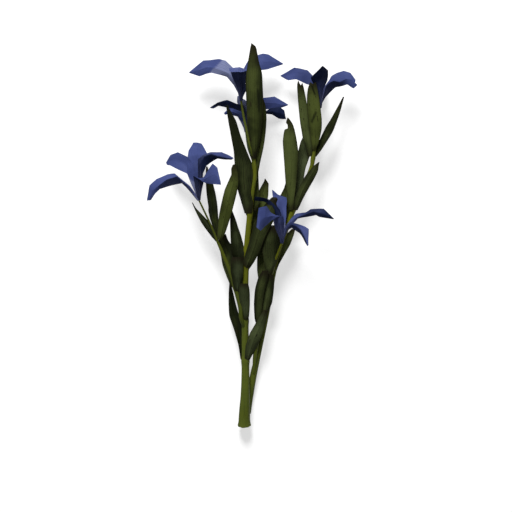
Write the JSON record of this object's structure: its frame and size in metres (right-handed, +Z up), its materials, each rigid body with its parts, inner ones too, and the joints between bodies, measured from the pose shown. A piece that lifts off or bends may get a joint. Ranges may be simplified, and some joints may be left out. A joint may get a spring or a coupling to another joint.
{
  "type": "gentian",
  "caption": "Cut gentian lying on its back: branching stems, narrow leaves and open blue flowers with pointed petals.",
  "frame": {"origin": "on the surface that the plant lies on, under the middle of its box", "axes": "+Y runs up the plant from the cut foot to the top leaf, +X is to the right seen from above, +Z points up from the surface"},
  "size_m": [0.1465, 0.27, 0.049],
  "materials": {
    "stem": "satin, fresh yellow-olive stem skin",
    "leaf": "matt to satin, leathery dark olive leaf with a fine midrib",
    "petal": "soft matt blue-violet petal, near black-blue on its outside"
  },
  "bodies": {
    "root": {"front_stem": "stem", "front_stem_leaf_1": "leaf", "front_stem_leaf_10": "leaf", "front_stem_leaf_11": "leaf", "front_stem_leaf_2": "leaf", "front_stem_leaf_3": "leaf", "front_stem_leaf_4": "leaf", "front_stem_leaf_5": "leaf", "front_stem_leaf_6": "leaf", "front_stem_leaf_7": "leaf", "front_stem_leaf_8": "leaf", "front_stem_leaf_9": "leaf", "inner_stem": "stem", "inner_stem_leaf_1": "leaf", "inner_stem_leaf_2": "leaf", "inner_stem_leaf_3": "leaf", "inner_stem_leaf_4": "leaf", "left_branch": "stem", "left_branch_leaf_1": "leaf", "left_branch_leaf_2": "leaf", "left_branch_leaf_3": "leaf", "left_branch_leaf_4": "leaf", "left_branch_leaf_5": "leaf", "left_branch_leaf_6": "leaf", "left_flower_petal_1": "petal", "left_flower_petal_2": "petal", "left_flower_petal_3": "petal", "left_flower_petal_4": "petal", "left_flower_petal_5": "petal", "low_flower_petal_1": "petal", "low_flower_petal_2": "petal", "low_flower_petal_3": "petal", "low_flower_petal_4": "petal", "low_flower_petal_5": "petal", "rear_flower_petal_1": "petal", "rear_flower_petal_2": "petal", "rear_flower_petal_3": "petal", "rear_flower_petal_4": "petal", "rear_flower_petal_5": "petal", "rear_stalk": "stem", "right_flower_petal_1": "petal", "right_flower_petal_2": "petal", "right_flower_petal_3": "petal", "right_flower_petal_4": "petal", "right_flower_petal_5": "petal", "right_stem": "stem", "right_stem_leaf_1": "leaf", "right_stem_leaf_2": "leaf", "right_stem_leaf_3": "leaf", "right_stem_leaf_4": "leaf", "right_stem_leaf_5": "leaf", "right_stem_leaf_6": "leaf", "right_stem_leaf_7": "leaf", "right_stem_leaf_8": "leaf", "top_flower_petal_1": "petal", "top_flower_petal_2": "petal", "top_flower_petal_3": "petal", "top_flower_petal_4": "petal", "top_flower_petal_5": "petal", "top_stalk": "stem"}
  },
  "joints": []
}
